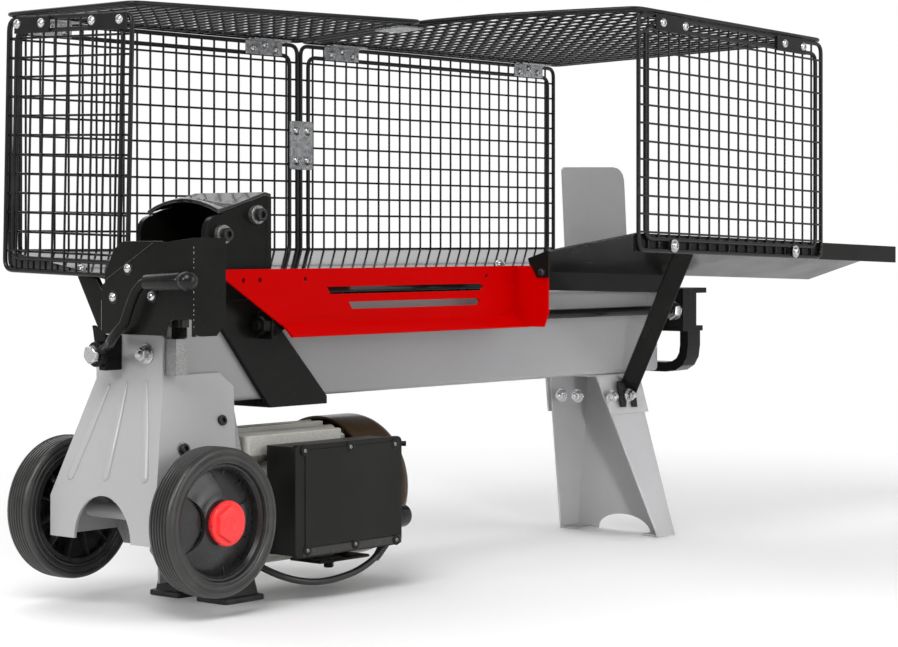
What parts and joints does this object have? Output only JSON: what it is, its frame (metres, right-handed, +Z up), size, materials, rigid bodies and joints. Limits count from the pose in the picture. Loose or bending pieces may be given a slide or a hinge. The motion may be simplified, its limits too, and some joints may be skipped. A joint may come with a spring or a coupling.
{
  "type": "log splitter",
  "caption": "Horizontal electric hydraulic log splitter: wheeled beam with a sliding pusher and fixed wedge, side tables and a wire guard cage over the splitting bed.",
  "frame": {"origin": "middle of the bounding box in plan, at floor level under the rubber feet", "axes": "+X runs along the beam from the pusher and wheels toward the wedge, +Y from the operator side (log tray, lever, wing table) to the back, +Z up"},
  "size_m": [1.2208, 0.4246, 0.6254],
  "materials": {
    "grey_paint": "satin",
    "cylinder_steel": "machined",
    "ground_rod": "polished",
    "cast_aluminium": "as cast",
    "black_plastic": "matte",
    "foot_rubber": "matte",
    "tyre_rubber": "matte",
    "hub_plastic": "satin",
    "red_plastic": "satin",
    "black_paint": "gloss",
    "table_paint": "gloss",
    "red_paint": "gloss",
    "cage_coating": "satin",
    "galvanised": "galvanised",
    "motor_aluminium": "as cast",
    "fan_cover_plastic": "gloss"
  },
  "bodies": {
    "frame": {"oil_tank_beam": "grey_paint", "beam_end_cap": "grey_paint", "hydraulic_cylinder": "cylinder_steel", "valve_block": "cast_aluminium", "air_bleed_knob": "black_plastic", "front_leg": "grey_paint", "wheel_axle": "cylinder_steel", "foot_stand": "grey_paint", "rubber_foot_near": "foot_rubber", "rubber_foot_far": "foot_rubber", "rear_leg": "grey_paint", "rear_leg_saddle": "grey_paint", "splitting_wedge": "grey_paint", "log_tray": "red_paint", "lever_guard": "black_paint", "guard_carrier": "black_paint", "lever_bracket": "black_paint", "back_table": "table_paint", "wing_table": "table_paint", "wing_strut": "black_paint", "back_strut": "black_paint", "cage_end_panel": "cage_coating", "cage_back_left_panel": "cage_coating", "cage_back_right_panel": "cage_coating", "cage_lid_left_panel": "cage_coating", "cage_lid_right_panel": "cage_coating", "cage_front_panel": "cage_coating", "back_joiner_plate": "galvanised", "lid_joiner_plate": "galvanised", "hinge_clamp_1": "galvanised", "hinge_clamp_2": "galvanised", "hinge_clamp_3": "galvanised", "hinge_clamp_4": "galvanised", "pump_housing": "cast_aluminium", "motor_housing": "motor_aluminium", "fan_cover": "fan_cover_plastic", "switch_box": "black_plastic", "switch_box_cover": "black_plastic", "motor_lead": "foot_rubber"},
    "ram": {"piston": "cylinder_steel", "piston_rod": "ground_rod", "ram_crosshead": "black_paint", "tie_rod_near": "black_paint", "tie_rod_far": "black_paint", "ram_carriage": "black_paint", "pusher_block": "black_paint", "pusher_hood": "black_paint"},
    "wheel_near": {"tyre_near": "tyre_rubber", "wheel_hub_near": "hub_plastic", "hub_cap_near": "red_plastic"},
    "wheel_far": {"tyre_far": "tyre_rubber", "wheel_hub_far": "hub_plastic", "hub_cap_far": "red_plastic"},
    "lever": {"control_lever": "black_paint", "lever_grip": "black_plastic", "valve_shaft": "cylinder_steel"},
    "button": {"start_button": "black_plastic"},
    "rotor": {"motor_rotor": "cylinder_steel", "cooling_fan": "black_plastic"}
  },
  "joints": [
    {"name": "ram_stroke", "type": "slide", "parent": "frame", "child": "ram", "axis": [1, 0, 0], "range_m": [0, 0.39]},
    {"name": "wheel_near_spin", "type": "hinge", "parent": "frame", "child": "wheel_near", "pos_m": [-0.53862, -0.119, 0.0925], "axis": [0, 1, 0], "continuous": true},
    {"name": "wheel_far_spin", "type": "hinge", "parent": "frame", "child": "wheel_far", "pos_m": [-0.53862, 0.089, 0.0925], "axis": [0, 1, 0], "continuous": true},
    {"name": "lever_tilt", "type": "hinge", "parent": "frame", "child": "lever", "pos_m": [-0.57862, 0.003, 0.251], "axis": [1, 0, 0], "range_deg": [0, 20], "stiffness_Nm_per_rad": 2, "springref_deg": -20.05},
    {"name": "button_press", "type": "slide", "parent": "frame", "child": "button", "axis": [-1, 0, 0], "range_m": [0, 0.004], "stiffness_N_per_m": 400, "springref_m": -0.002},
    {"name": "motor_spin", "type": "hinge", "parent": "frame", "child": "rotor", "pos_m": [-0.35862, -0.015, 0.099], "axis": [1, 0, 0], "continuous": true}
  ]
}
